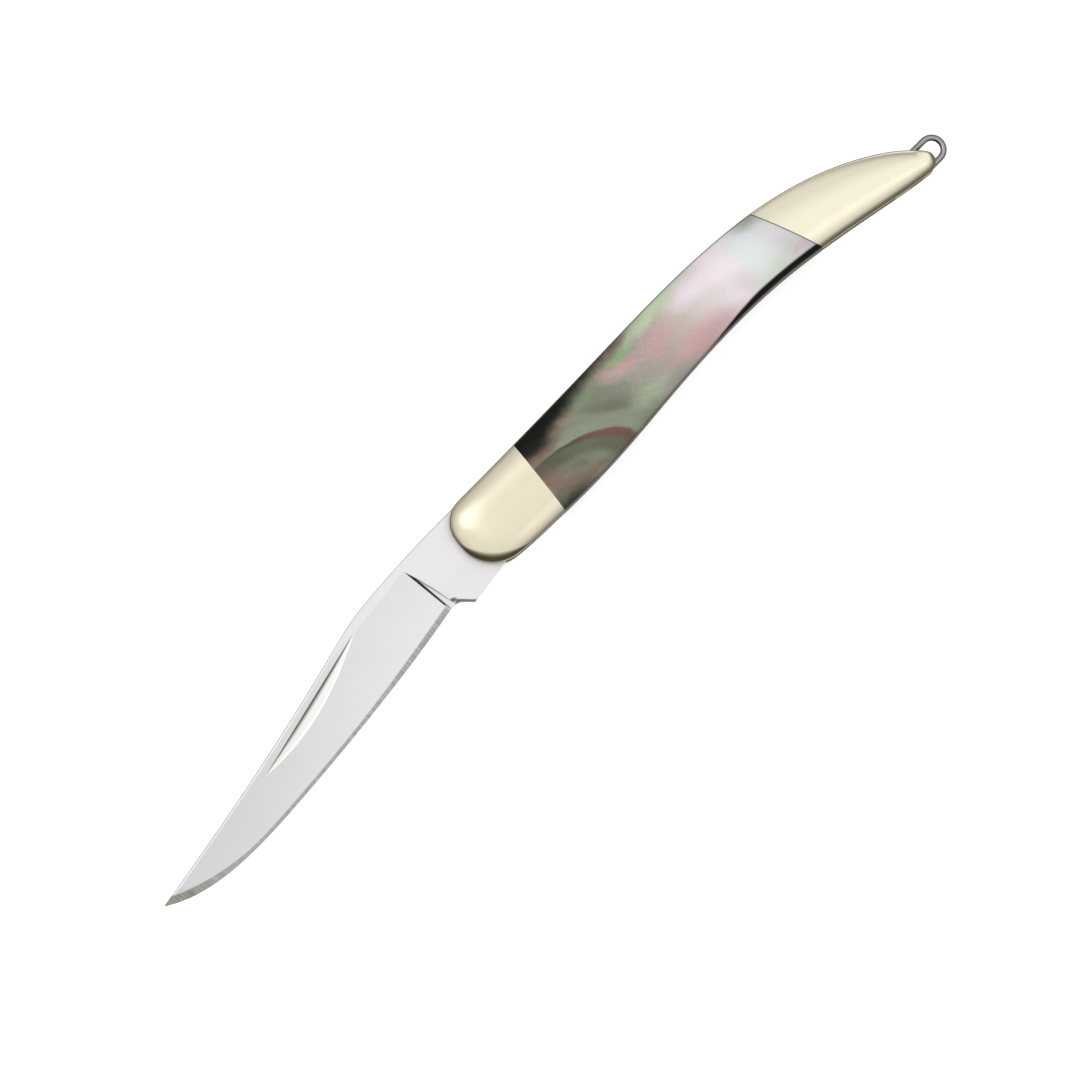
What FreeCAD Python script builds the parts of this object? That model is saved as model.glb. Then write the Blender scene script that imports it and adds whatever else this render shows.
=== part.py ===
import FreeCAD, Part
import math
import os

from FreeCAD import Vector

# Small folding knife, millimetres. It is drawn around the blade pivot with X to the tail,
# Y to the spine and Z to the mark side, and moved to its rest on the pile side at the end.
# A place in shares is its share of the way from the pivot to the tail, or to the tip, and its height.

# Handle outline
handle_front = 5.55
handle_tail = 70.75
front_radius = 4.95
front_center_y = 0.65
front_belly_angle = 262.0
front_side_radius = 9.0
front_side_sweep = 14.0
front_spine_height = 5.6
nose_radius = 1.4
nose_center_y = -5.6
nose_spine_angle = 35.0
nose_belly_angle = -96.0
spine_shares = [(0.14, 5.7), (0.31, 5.95), (0.495, 6.2), (0.622, 5.85), (0.735, 4.75), (0.848, 2.35),
                (0.933, -0.75)]
belly_shares = [(0.057, -4.58), (0.141, -4.7), (0.254, -4.45), (0.396, -3.62), (0.523, -3.15), (0.65, -3.35),
                (0.763, -4.34), (0.876, -5.8)]

# Thickness of the layers
spring_thickness = 2.0
liner_thickness = 0.7
crown_height = 2.4

# Rounding of the bolsters and covers
front_crown_drop = 1.0
rear_crown_drop = 1.4
front_crown_power = 3.0
rear_crown_power = 2.0
crown_width = 5.1
crown_margin = 0.8
front_dome_start = 3.0
front_dome_drop = 1.5
front_dome_power = 4.0
tail_dome_share = 0.65
tail_dome_drop = 1.25
rim_radius = 0.5
rest_land_depth = 0.04

# Lines where the covers meet the bolsters
front_joint = 7.3
front_joint_slant = 6.7
rear_joint_share = 0.7245
rear_joint_slant = -20.6

# Fits
pin_fit = 0.01
running_fit = 0.03
side_clearance = 0.03
seat_gap = 0.03

# Pins and rivets
pivot_pin_diameter = 2.4
spring_pin_diameter = 1.6
spring_pin_share = (0.424, 4.3)
tail_pin_diameter = 1.6
tail_pin_share = (0.827, 1.15)
bail_pin_diameter = 1.3
bail_pin_from_tail = 2.5
bail_pin_y = -5.0
rivet_diameter = 1.0
rivet_depth = 1.0
front_rivet_places = [(4.7, 3.4), (4.4, -2.5)]
rear_rivet_shares = [(0.772, -2.4), (0.9075, -3.4)]

# Bail
bail_wire_diameter = 0.85
bail_bend_radius = 1.5
bail_straight = 2.75
bail_pin_play = 0.05
bail_swing_room = 0.3

# Blade outline
tip_room = 7.65
tip_height = -4.1
blade_back_shares = [(0.872, -2.72), (0.729, -1.05), (0.5705, 1.08), (0.428, 3.22), (0.349, 4.42),
                     (0.2695, 5.02), (0.1425, 5.45)]
blade_back_height = 5.54
heel = (-11.7, -3.18)
edge_shares = [(0.285, -4.25), (0.4755, -5.76), (0.6655, -6.82), (0.792, -7.16), (0.8875, -6.7),
               (0.951, -5.66)]
kick_reach = 9.5
kick_radius = 0.25
choil_slope = 46.2
choil_radius = 1.4

# Tang
tang_flat = 3.4
tang_radius = 3.75
closed_slope = 8.0
spring_front = -1.2

# Blade grinds
grind_edge_thickness = 0.33
grind_height = 7.85
grind_wheel_radius = 38.0
plunge_place = (-11.95, -2.7)
plunge_angle = 41.0
edge_bevel_angle = 15.0
edge_flat = 0.06
spine_bevel_angle = 45.0
spine_bevel_depth = 0.42
bevel_reach = 2.5
spine_bevel_start_shares = [(0.317, 5.5), (0.428, 3.35)]

# Nail nick
nick_start_share = (0.68, -1.6)
nick_end_share = (0.355, 3.25)
nick_depth = 0.38
nick_width = 1.6

# Back spring, inner side
spring_straight_end = 11.0
spring_inner_shares = [(0.283, 3.2), (0.424, 2.5), (0.565, 2.2), (0.707, 1.3), (0.7915, 0.1), (0.848, -1.25)]
spring_foot = 2.15
spring_foot_height = -3.4
spring_tail_slope = -75.0

# Where the middle of the rest face lies
rest_point = (28.0, 1.1)

# Sizes that follow from those above
gap_half = spring_thickness / 2
liner_outside = gap_half + liner_thickness
blade_half = gap_half - side_clearance
pile_rest = liner_outside + crown_height - rest_land_depth
front_center = Vector(front_radius - handle_front, front_center_y, 0)
nose_center = Vector(handle_tail - nose_radius, nose_center_y, 0)
tail_dome_start = tail_dome_share * handle_tail
rear_joint = rear_joint_share * handle_tail
blade_reach = handle_tail - tip_room
blade_tip = Vector(-blade_reach, tip_height, 0)
bail_pin_place = (handle_tail - bail_pin_from_tail, bail_pin_y)
bail_wire_radius = bail_wire_diameter / 2
bail_offset = bail_bend_radius - bail_wire_radius - bail_pin_diameter / 2 - bail_pin_play
bail_sweep = math.hypot(bail_bend_radius + bail_wire_radius, bail_offset)
spring_tail = bail_pin_place[0] - bail_sweep - bail_swing_room
spring_tail_corner = Vector(spring_tail - spring_foot, spring_foot_height, 0)

# Reach of the tools that cut right through a piece
beyond = 20.0
up = Vector(0, 0, 1)


def on_plan(place, z=0.0):
    return Vector(place[0], place[1], z)


# Places given in shares of the handle and of the blade
def on_handle(share):
    return Vector(share[0] * handle_tail, share[1], 0)


def on_blade(share):
    return Vector(-share[0] * blade_reach, share[1], 0)


def toward(degrees):
    angle = math.radians(degrees)
    return Vector(math.cos(angle), math.sin(angle), 0)


def smooth_curve(points, start_direction=None, end_direction=None):
    curve = Part.BSplineCurve()
    if start_direction is None:
        curve.interpolate(Points=points)
    else:
        curve.interpolate(Points=points, InitialTangent=start_direction, FinalTangent=end_direction)
    return curve.toShape()


def arc_about(center, radius, start_degrees, end_degrees):
    stops = (start_degrees, (start_degrees + end_degrees) / 2, end_degrees)
    return Part.Arc(*[center + toward(degrees) * radius for degrees in stops]).toShape()


# Ends and arc that round one corner of a path
def corner_arc(before, corner, after, radius):
    back = (before - corner).normalize()
    ahead = (after - corner).normalize()
    half_angle = back.getAngle(ahead) / 2
    reach = radius / math.tan(half_angle)
    middle = corner + (back + ahead).normalize() * (radius / math.sin(half_angle) - radius)
    start = corner + back * reach
    end = corner + ahead * reach
    return start, Part.Arc(start, middle, end).toShape(), end


def plate(wire, bottom, top):
    face = Part.Face(wire)
    face.translate(up * bottom)
    return face.extrude(up * (top - bottom))


def polygon(corners):
    return Part.makePolygon(corners + corners[:1])


def post(place, diameter, bottom, top):
    return Part.makeCylinder(diameter / 2, top - bottom, on_plan(place, bottom))


def other_side(shape):
    return shape.mirror(Vector(0, 0, 0), up)


# Handle outline: a round front, the belly, a small nose at the tail and the spine
def handle_outline():
    front = [
        arc_about(shoulder_center, shoulder_radius, 90.0, shoulder_angle),
        arc_about(front_side_center, front_side_radius, shoulder_angle, 180.0),
        arc_about(front_center, front_radius, 180.0, front_belly_angle),
    ]
    nose = arc_about(nose_center, nose_radius, nose_belly_angle, nose_spine_angle)
    belly = smooth_curve(
        [front_center + toward(front_belly_angle) * front_radius]
        + [on_handle(share) for share in belly_shares]
        + [nose_center + toward(nose_belly_angle) * nose_radius],
        toward(front_belly_angle + 90),
        toward(nose_belly_angle + 90),
    )
    spine = smooth_curve(
        [shoulder_center + toward(90.0) * shoulder_radius]
        + [on_handle(share) for share in spine_shares]
        + [nose_center + toward(nose_spine_angle) * nose_radius],
        toward(0.0),
        toward(nose_spine_angle - 90),
    )
    return Part.Wire(front + [belly, nose, spine])


# Round front: a slow curve up from its tip, then a tighter one that meets the spine
shoulder_angle = 180.0 - front_side_sweep
front_side_center = Vector(front_side_radius - handle_front, front_center_y, 0)
shoulder_foot_y = front_center_y + front_side_radius * toward(shoulder_angle).y
shoulder_radius = (front_spine_height - shoulder_foot_y) / (1 - toward(shoulder_angle).y)
shoulder_center = front_side_center + toward(shoulder_angle) * (front_side_radius - shoulder_radius)
outline = handle_outline()
outline_face = Part.Face(outline)


# Belly and spine of the handle at one place along it; the round ends count as wide as where they start
def handle_span(x):
    inside = min(max(x, front_center.x), nose_center.x)
    line = Part.makeLine(Vector(inside, -beyond, 0), Vector(inside, beyond, 0))
    crossing = line.common(outline_face)
    return crossing.BoundBox.YMin, crossing.BoundBox.YMax


# Height of the rounded outer face above the liner; across runs from -1 at the belly to 1 at the spine
def crown(x, across, half_width):
    front_share = max(0.0, front_dome_start - x) / (front_dome_start + handle_front)
    tail_share = max(0.0, x - tail_dome_start) / (handle_tail - tail_dome_start)
    rear_share = min(max(x / rear_joint, 0.0), 1.0)
    middle = crown_height - front_dome_drop * front_share ** front_dome_power - tail_dome_drop * tail_share ** 2
    drop = front_crown_drop + (rear_crown_drop - front_crown_drop) * rear_share
    power = front_crown_power + (rear_crown_power - front_crown_power) * rear_share
    return middle - drop * (half_width / crown_width) ** 0.6 * abs(across) ** power


# Everything under the rounded outer face of the mark side
def space_under_crown():
    row_count = 30
    side_count = 6
    start = -handle_front - 2 * crown_margin
    step = (handle_tail + 2 * crown_margin - start) / row_count
    rows = []
    for row in range(row_count + 1):
        x = start + row * step
        belly, spine = handle_span(x)
        half_width = (spine - belly) / 2
        reach = 1 + crown_margin / half_width
        points = []
        for column in range(-side_count, side_count + 1):
            across = reach * column / side_count
            y = (spine + belly) / 2 + across * half_width
            points.append(Vector(x, y, liner_outside + crown(x, across, half_width)))
        rows.append(points)
    surface = Part.BSplineSurface()
    surface.interpolate(rows)
    return surface.toShape().extrude(up * -beyond)


# Outer half of the handle on the mark side, before it is cut into bolsters and cover
def crowned_half():
    block = plate(outline, liner_outside, beyond).common(under_mark_crown).Solids[0]
    rim = [edge for edge in block.Edges
           if edge.BoundBox.ZMin > liner_outside and edge.BoundBox.ZLength < edge.Length / 2]
    return block.makeFillet(rim_radius, rim).Solids[0]


under_mark_crown = space_under_crown()
below_rest = Part.makeBox(10 * beyond, 2 * beyond, beyond, Vector(-5 * beyond, -beyond, -beyond - pile_rest))
above_pile_crown = other_side(under_mark_crown).cut(below_rest)
mark_half = crowned_half()
pile_half = other_side(mark_half).cut(below_rest)


# Pins along Z; those through the bolsters are trimmed flush with the outer faces
def flush_pin(place, diameter):
    long_pin = post(place, diameter, -beyond / 2, beyond / 2)
    return long_pin.common(under_mark_crown).common(above_pile_crown)


def pin_hole(place, diameter):
    return post(place, diameter + 2 * pin_fit, -beyond, beyond)


pivot_place = (0.0, 0.0)
spring_pin_place = on_handle(spring_pin_share)
tail_pin_place = on_handle(tail_pin_share)
pivot_pin = flush_pin(pivot_place, pivot_pin_diameter)
tail_pin = flush_pin(tail_pin_place, tail_pin_diameter)
bail_pin = flush_pin(bail_pin_place, bail_pin_diameter)
spring_pin = post(spring_pin_place, spring_pin_diameter, -liner_outside, liner_outside)
bolster_holes = [
    pin_hole(pivot_place, pivot_pin_diameter),
    pin_hole(tail_pin_place, tail_pin_diameter),
    pin_hole(bail_pin_place, bail_pin_diameter),
]
spring_hole = pin_hole(spring_pin_place, spring_pin_diameter)


# Rivets on the mark side, from the inner face of the liner into the bolster
def rivets(places, diameter, end_gap=0.0):
    top = liner_outside + rivet_depth + end_gap
    return [post(place, diameter, gap_half, top) for place in places]


rear_rivet_places = [on_handle(share) for share in rear_rivet_shares]
front_rivets = Part.makeCompound(rivets(front_rivet_places, rivet_diameter))
rear_rivets = Part.makeCompound(rivets(rear_rivet_places, rivet_diameter))
mark_rivet_holes = rivets(front_rivet_places + rear_rivet_places, rivet_diameter + 2 * pin_fit, pin_fit)
pile_rivet_holes = [other_side(hole) for hole in mark_rivet_holes]


# Part of the plan between two slanting lines across the handle
def between(left, left_slant, right, right_slant):
    def at(x, slant, y):
        return Vector(x + y * math.tan(math.radians(slant)), y, 0)
    corners = [at(left, left_slant, -beyond), at(right, right_slant, -beyond),
               at(right, right_slant, beyond), at(left, left_slant, beyond)]
    return plate(polygon(corners), -beyond, beyond)


front_part = between(-handle_front - beyond, 0.0, front_joint, front_joint_slant)
scale_part = between(front_joint, front_joint_slant, rear_joint, rear_joint_slant)
rear_part = between(rear_joint, rear_joint_slant, handle_tail + beyond, 0.0)

mark_front_bolster = mark_half.common(front_part).cut(bolster_holes + mark_rivet_holes)
mark_scale = mark_half.common(scale_part)
mark_rear_bolster = mark_half.common(rear_part).cut(bolster_holes + mark_rivet_holes)
pile_front_bolster = pile_half.common(front_part).cut(bolster_holes + pile_rivet_holes)
pile_scale = pile_half.common(scale_part)
pile_rear_bolster = pile_half.common(rear_part).cut(bolster_holes + pile_rivet_holes)

mark_liner = plate(outline, gap_half, liner_outside).cut(bolster_holes + [spring_hole] + mark_rivet_holes)
pile_liner = other_side(mark_liner)


# Back spring: flush with the spine outside, clear of the closed blade inside
def make_back_spring():
    front_top = Vector(spring_front, beyond, 0)
    front_foot = Vector(spring_front, tang_flat, 0)
    straight_end = Vector(spring_straight_end, tang_flat, 0)
    tail_low = Vector(spring_tail_corner.x, -beyond, 0)
    back_low = Vector(spring_tail, -beyond, 0)
    back_top = Vector(spring_tail, beyond, 0)
    inner = smooth_curve(
        [straight_end] + [on_handle(share) for share in spring_inner_shares] + [spring_tail_corner],
        toward(0.0),
        toward(spring_tail_slope),
    )
    sides = [
        Part.makeLine(front_top, front_foot),
        Part.makeLine(front_foot, straight_end),
        inner,
        Part.makeLine(spring_tail_corner, tail_low),
        Part.makeLine(tail_low, back_low),
        Part.makeLine(back_low, back_top),
        Part.makeLine(back_top, front_top),
    ]
    region = plate(Part.Wire(sides), -beyond, beyond)
    body = plate(outline, -gap_half, gap_half).common(region)
    return body.cut(bolster_holes + [spring_hole])


back_spring = make_back_spring()


# Edge line of the blade from the heel to the tip, and its back from the tip to the shoulder
edge_curve = smooth_curve([on_plan(heel)] + [on_blade(share) for share in edge_shares] + [blade_tip])
shoulder_x = spring_front - seat_gap
back_curve = smooth_curve(
    [blade_tip]
    + [on_blade(share) for share in blade_back_shares]
    + [Vector(shoulder_x, blade_back_height, 0)]
)


# Outline of the blade: shoulder, tang with its open, half and closed flats, kick, choil, edge and back
def blade_outline():
    flat = tang_flat - seat_gap
    half_flat = math.degrees(math.acos(flat / tang_radius))
    closed_normal = closed_slope - 90
    pivot = Vector(0, 0, 0)
    shoulder_top = Vector(shoulder_x, blade_back_height, 0)
    shoulder_foot = Vector(shoulder_x, flat, 0)
    open_corner = toward(90 - half_flat) * tang_radius
    stop_top = toward(half_flat) * tang_radius
    stop_foot = toward(-half_flat) * tang_radius
    closed_corner = toward(closed_normal + half_flat) * tang_radius
    kick = toward(closed_normal) * flat - toward(closed_slope) * kick_reach
    up_choil = toward(180 - choil_slope)
    choil_top = kick + up_choil * ((heel[1] - kick.y) / up_choil.y)
    heel_point = on_plan(heel)
    kick_start, kick_arc, kick_end = corner_arc(closed_corner, kick, choil_top, kick_radius)
    choil_start, choil_arc, choil_end = corner_arc(kick, choil_top, heel_point, choil_radius)
    return Part.Wire([
        Part.makeLine(shoulder_top, shoulder_foot),
        Part.makeLine(shoulder_foot, open_corner),
        arc_about(pivot, tang_radius, 90 - half_flat, half_flat),
        Part.makeLine(stop_top, stop_foot),
        arc_about(pivot, tang_radius, -half_flat, closed_normal + half_flat),
        Part.makeLine(closed_corner, kick_start),
        kick_arc,
        Part.makeLine(kick_end, choil_start),
        choil_arc,
        Part.makeLine(choil_end, heel_point),
        edge_curve,
        back_curve,
    ])


# Hollow grind: a wheel along the edge line, seen across it with q as the distance from that line
grind_line_start = on_blade(edge_shares[0])
grind_along = (on_blade(edge_shares[2]) - grind_line_start).normalize()
grind_across = Vector(grind_along.y, -grind_along.x, 0)


def wheel_center():
    low = Vector(0, grind_edge_thickness / 2, 0)
    high = Vector(grind_height, blade_half, 0)
    chord = high - low
    rise = math.sqrt(grind_wheel_radius ** 2 - (chord.Length / 2) ** 2)
    center = (low + high) / 2 + Vector(-chord.y, chord.x, 0).normalize() * rise
    return center.x, center.y


wheel_q, wheel_z = wheel_center()


def edge_distance(place):
    return (on_plan(place) - grind_line_start).dot(grind_across)


def ground_half_thickness(q):
    if q > grind_height:
        return blade_half
    return wheel_z - math.sqrt(grind_wheel_radius ** 2 - (q - wheel_q) ** 2)


def on_ground_face(place):
    return place + up * ground_half_thickness(edge_distance(place))


# The wheel has a bevelled shoulder, which leaves the plunge cut at the ricasso
def grind_tool():
    along = (on_plan(plunge_place) - grind_line_start).dot(grind_along)
    plunge = grind_line_start + grind_along * along + grind_across * wheel_q + up * wheel_z
    shoulder_length = 4 * blade_half
    shoulder_radius = grind_wheel_radius - shoulder_length * math.tan(math.radians(plunge_angle))
    wheel = Part.makeCylinder(grind_wheel_radius, 5 * beyond, plunge, grind_along)
    shoulder = Part.makeCone(grind_wheel_radius, shoulder_radius, shoulder_length, plunge, grind_along * -1)
    return wheel.fuse(shoulder)


# Bevel tool: takes off what lies above a slope that rises from the curve into the blade, on past the tip
def bevel_tool(curve, inward_turn, angle):
    start = curve.valueAt(curve.FirstParameter)
    along = curve.tangentAt(curve.FirstParameter)
    inward = Vector(-along.y, along.x, 0).normalize() * inward_turn
    slope = inward + up * math.tan(math.radians(angle))
    tip = curve.valueAt(curve.LastParameter)
    run_on = Part.makeLine(tip, tip + curve.tangentAt(curve.LastParameter) * bevel_reach)
    low = start - slope * (bevel_reach / 2)
    high = start + slope * bevel_reach
    section = polygon([low, high, high + up * bevel_reach, low + up * bevel_reach])
    return Part.Wire([curve, run_on]).makePipeShell([section], True, False)


def edge_bevel():
    curve = edge_curve.translated(up * (edge_flat / 2))
    return bevel_tool(curve, -1, edge_bevel_angle)


# The back gets thinner towards the tip, so the tool for its bevel is tilted to follow it
def spine_bevel():
    clip_shares = spine_bevel_start_shares + blade_back_shares[2::-1]
    places = [on_blade(share) for share in clip_shares] + [blade_tip]
    tip_half = ground_half_thickness(edge_distance(blade_tip))
    length = places[1].x - blade_tip.x
    tilt = math.degrees(math.atan((blade_half - tip_half) / length))
    height = up * (tip_half - spine_bevel_depth)
    tool = bevel_tool(smooth_curve([place + height for place in places]), 1, spine_bevel_angle)
    return tool.rotated(blade_tip + height, Vector(0, 1, 0), -tilt)


# Nail nick: a large bevelled wheel with its flat side on the straight edge of the nick
def nick_tool():
    start = on_ground_face(on_blade(nick_start_share))
    end = on_ground_face(on_blade(nick_end_share))
    along = (end - start).normalize()
    to_edge = along.cross(up).normalize()
    outward = to_edge.cross(along)
    middle = (start + end) / 2
    middle_q = edge_distance((middle.x, middle.y))
    fall = ground_half_thickness(middle_q) - ground_half_thickness(middle_q - nick_width)
    ramp = (nick_depth - fall) / nick_width
    radius = (end - start).Length ** 2 / (8 * nick_depth)
    thickness = 4 * nick_width
    center = middle + outward * (radius - nick_depth)
    return Part.makeCone(radius, radius - thickness * ramp, thickness, center, to_edge)


def make_blade():
    body = plate(blade_outline(), -blade_half, blade_half)
    tools = [grind_tool(), edge_bevel(), spine_bevel()]
    for tool in tools:
        body = body.cut([tool, other_side(tool)])
    pivot_hole = post(pivot_place, pivot_pin_diameter + 2 * running_fit, -beyond, beyond)
    return body.cut([nick_tool(), pivot_hole])


blade = make_blade()


# Bail: a closed loop of round wire with two straight legs and two half-round bends
def make_bail():
    near = on_plan(bail_pin_place) + Vector(bail_offset, 0, 0)
    far = near + Vector(bail_straight, 0, 0)
    side = Vector(0, bail_bend_radius, 0)
    along = Vector(1, 0, 0)
    pieces = []
    for center, turn in ((near, 180), (far, -180)):
        circle = Part.makeCircle(bail_wire_radius, center + side, along)
        pieces.append(Part.Face(Part.Wire(circle)).revolve(center, up, turn))
    for leg_start in (near + side, near - side):
        pieces.append(Part.makeCylinder(bail_wire_radius, bail_straight, leg_start, along))
    return pieces[0].fuse(pieces[1:]).removeSplitter()


bail = make_bail()

nodes = {
    "blade": blade,
    "back_spring": back_spring,
    "mark_liner": mark_liner,
    "pile_liner": pile_liner,
    "mark_front_bolster": mark_front_bolster,
    "pile_front_bolster": pile_front_bolster,
    "mark_rear_bolster": mark_rear_bolster,
    "pile_rear_bolster": pile_rear_bolster,
    "mark_scale": mark_scale,
    "pile_scale": pile_scale,
    "pivot_pin": pivot_pin,
    "spring_pin": spring_pin,
    "tail_pin": tail_pin,
    "bail_pin": bail_pin,
    "bail": bail,
    "mark_front_rivets": front_rivets,
    "pile_front_rivets": other_side(front_rivets),
    "mark_rear_rivets": rear_rivets,
    "pile_rear_rivets": other_side(rear_rivets),
}

os.makedirs("parts", exist_ok=True)
to_rest = Vector(-rest_point[0], -rest_point[1], pile_rest)
for name, shape in nodes.items():
    placed = shape.translated(to_rest)
    placed.exportStep("parts/" + name + ".step")
    print(name, len(placed.Solids), placed.isValid(), round(placed.Volume, 3))
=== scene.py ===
import math

import bmesh
import bpy
import numpy as np
from mathutils import Matrix, Vector


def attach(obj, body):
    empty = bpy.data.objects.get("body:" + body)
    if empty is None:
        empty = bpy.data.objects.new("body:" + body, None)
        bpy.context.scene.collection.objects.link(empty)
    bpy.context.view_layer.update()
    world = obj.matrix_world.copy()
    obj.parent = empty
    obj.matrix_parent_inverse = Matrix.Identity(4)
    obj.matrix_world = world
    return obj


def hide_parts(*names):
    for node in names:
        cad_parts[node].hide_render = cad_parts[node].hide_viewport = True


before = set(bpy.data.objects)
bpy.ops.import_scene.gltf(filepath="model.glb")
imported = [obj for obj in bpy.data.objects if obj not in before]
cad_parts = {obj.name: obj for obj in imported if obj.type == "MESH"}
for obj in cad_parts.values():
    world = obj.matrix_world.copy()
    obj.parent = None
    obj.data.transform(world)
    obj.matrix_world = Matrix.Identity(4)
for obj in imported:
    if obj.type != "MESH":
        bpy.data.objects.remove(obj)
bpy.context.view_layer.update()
print("frame loaded:", len(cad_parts), "nodes")

mm = 0.001
toRest = np.array((-28.0, -1.1, 4.06))  # from the blade pivot to the middle of the rest face, mm


# small helpers

def toward(degrees):
    return np.array((math.cos(math.radians(degrees)), math.sin(math.radians(degrees))))


def arcLine(center, radius, startDegrees, endDegrees, count=120):
    return np.array([center + toward(a) * radius for a in np.linspace(startDegrees, endDegrees, count)])


def smoothLine(points, startWay, endWay, count=500):  # cubic curve, its ends along the two ways
    points = np.asarray(points, float)
    steps = np.linalg.norm(np.diff(points, axis=0), axis=1)
    knots = np.concatenate(([0.0], np.cumsum(steps)))
    last = len(points) - 1
    system = np.eye(last + 1)
    right = np.zeros((last + 1, 2))
    right[0] = startWay
    right[last] = endWay
    for i in range(1, last):
        system[i, i - 1:i + 2] = steps[i], 2 * (steps[i - 1] + steps[i]), steps[i - 1]
        before = (points[i] - points[i - 1]) / steps[i - 1]
        after = (points[i + 1] - points[i]) / steps[i]
        right[i] = 3 * (steps[i] * before + steps[i - 1] * after)
    slopes = np.linalg.solve(system, right)
    at = np.linspace(0.0, knots[-1], count)
    span = np.clip(np.searchsorted(knots, at, "right") - 1, 0, last - 1)
    h = steps[span][:, None]
    t = ((at - knots[span]) / steps[span])[:, None]
    return ((2 * t ** 3 - 3 * t ** 2 + 1) * points[span] + (t ** 3 - 2 * t ** 2 + t) * h * slopes[span]
            + (3 * t ** 2 - 2 * t ** 3) * points[span + 1] + (t ** 3 - t ** 2) * h * slopes[span + 1])


def resample(line, shares):  # points at shares of the line's length
    steps = np.linalg.norm(np.diff(line, axis=0), axis=1)
    along = np.concatenate(([0.0], np.cumsum(steps)))
    at = np.asarray(shares) * along[-1]
    return np.stack([np.interp(at, along, line[:, k]) for k in (0, 1)], axis=1)


def link(obj):
    bpy.context.scene.collection.objects.link(obj)
    return obj


def dress(piece, body, slotName, *nodes):  # a finished piece goes on its body, in place of its solids
    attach(piece, body)
    if nodes:
        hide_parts(*nodes)
    return piece


# node helpers, for geometry and shader trees alike

def feed(tree, socket, value):  # links a socket or sets it, with colours given without their alpha
    if isinstance(value, bpy.types.NodeSocket):
        tree.links.new(value, socket)
    elif socket.type == "RGBA":
        socket.default_value = (*value, 1.0)
    else:
        socket.default_value = value


def feedAll(tree, node, inputs):  # inputs by name or number
    for name, value in inputs.items():
        feed(tree, node.inputs[name], value)
    return node


def addNode(tree, kind, inputs):
    return feedAll(tree, tree.nodes.new(kind), inputs)


def calc(tree, operation, *values, kind="ShaderNodeMath", output=0):
    node = tree.nodes.new(kind)
    node.operation = operation
    for socket, value in zip(node.inputs, values):
        feed(tree, socket, value)
    return node.outputs[output]


def times(tree, first, second):
    return calc(tree, "MULTIPLY", first, second)


def minus(tree, first, second):
    return calc(tree, "SUBTRACT", first, second)


def larger(tree, first, second):
    return calc(tree, "MAXIMUM", first, second)


def scaled(tree, value, factor, offset):
    return calc(tree, "MULTIPLY_ADD", value, factor, offset)


def spread(tree, value, low, high, toLow=0.0, toHigh=1.0):  # smooth step from low to high
    ends = {"Value": value, "From Min": low, "From Max": high, "To Min": toLow, "To Max": toHigh}
    node = addNode(tree, "ShaderNodeMapRange", ends)
    node.interpolation_type = "SMOOTHSTEP"
    return node.outputs["Result"]


def blend(tree, share, first, second, mode="MIX"):  # colour mix
    node = tree.nodes.new("ShaderNodeMix")
    node.data_type = "RGBA"
    node.blend_type = mode
    for number, value in ((0, share), (6, first), (7, second)):
        feed(tree, node.inputs[number], value)
    return node.outputs[2]


def attribute(tree, name):
    node = tree.nodes.new("ShaderNodeAttribute")
    node.attribute_name = name
    return node.outputs["Fac"]


def axes(tree, vector):  # its X, Y and Z
    return tuple(addNode(tree, "ShaderNodeSeparateXYZ", {0: vector}).outputs)


def faceNormal(tree):
    return axes(tree, tree.nodes.new("ShaderNodeNewGeometry").outputs["Normal"])


def facingUp(tree):  # 1 on level faces of either side, 0 on upright ones
    return calc(tree, "ABSOLUTE", faceNormal(tree)[2])


def millimetres(tree):  # object coordinates in mm around the blade pivot
    where = tree.nodes.new("ShaderNodeTexCoord").outputs["Object"]
    inputs = {"Vector": where, "Location": tuple(-toRest), "Scale": (1 / mm, 1 / mm, 1 / mm)}
    return addNode(tree, "ShaderNodeMapping", inputs).outputs["Vector"]


def turned(tree, vector, place=(0, 0, 0), degrees=0.0, size=(1, 1, 1)):  # coordinates of a pattern at a place
    inputs = {"Vector": vector, "Location": place, "Rotation": (0, 0, math.radians(degrees)), "Scale": size}
    node = addNode(tree, "ShaderNodeMapping", inputs)
    node.vector_type = "TEXTURE"
    return node.outputs["Vector"]


def noise(tree, vector, scale, detail=2.0, roughness=0.5, output="Fac"):
    inputs = {"Vector": vector, "Scale": scale, "Detail": detail, "Roughness": roughness}
    return addNode(tree, "ShaderNodeTexNoise", inputs).outputs[output]


def raised(tree, height, strength, distance):  # bump, distance in mm
    inputs = {"Height": height, "Strength": strength, "Distance": distance * mm}
    return addNode(tree, "ShaderNodeBump", inputs).outputs["Normal"]


def howFar(tree, vector, place, turn, size):  # 0 in the middle of an oval, 1 at its edge
    flat = turned(tree, vector, (*place, 0.0), turn, (*size, 1000.0))
    return calc(tree, "LENGTH", flat, kind="ShaderNodeVectorMath", output="Value")


def stirred(tree, vector, scale, amount):  # coordinates pushed about by noise
    push = noise(tree, vector, scale, 3.0, output="Color")
    back = calc(tree, "SUBTRACT", vector, (amount / 2, amount / 2, 0.0), kind="ShaderNodeVectorMath")
    return calc(tree, "MULTIPLY_ADD", push, (amount, amount, 0.0), back, kind="ShaderNodeVectorMath")


def newMaterial(name, metallic, roughness):
    material = bpy.data.materials.new(name)
    material.use_nodes = True
    tree = material.node_tree
    shader = feedAll(tree, tree.nodes["Principled BSDF"], {"Metallic": metallic, "Roughness": roughness})
    return material, tree, shader


def reopened(material):  # tree, shader and colour of a material that gets more work
    tree = material.node_tree
    shader = tree.nodes["Principled BSDF"]
    return tree, shader, shader.inputs["Base Color"].links[0].from_socket


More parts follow.
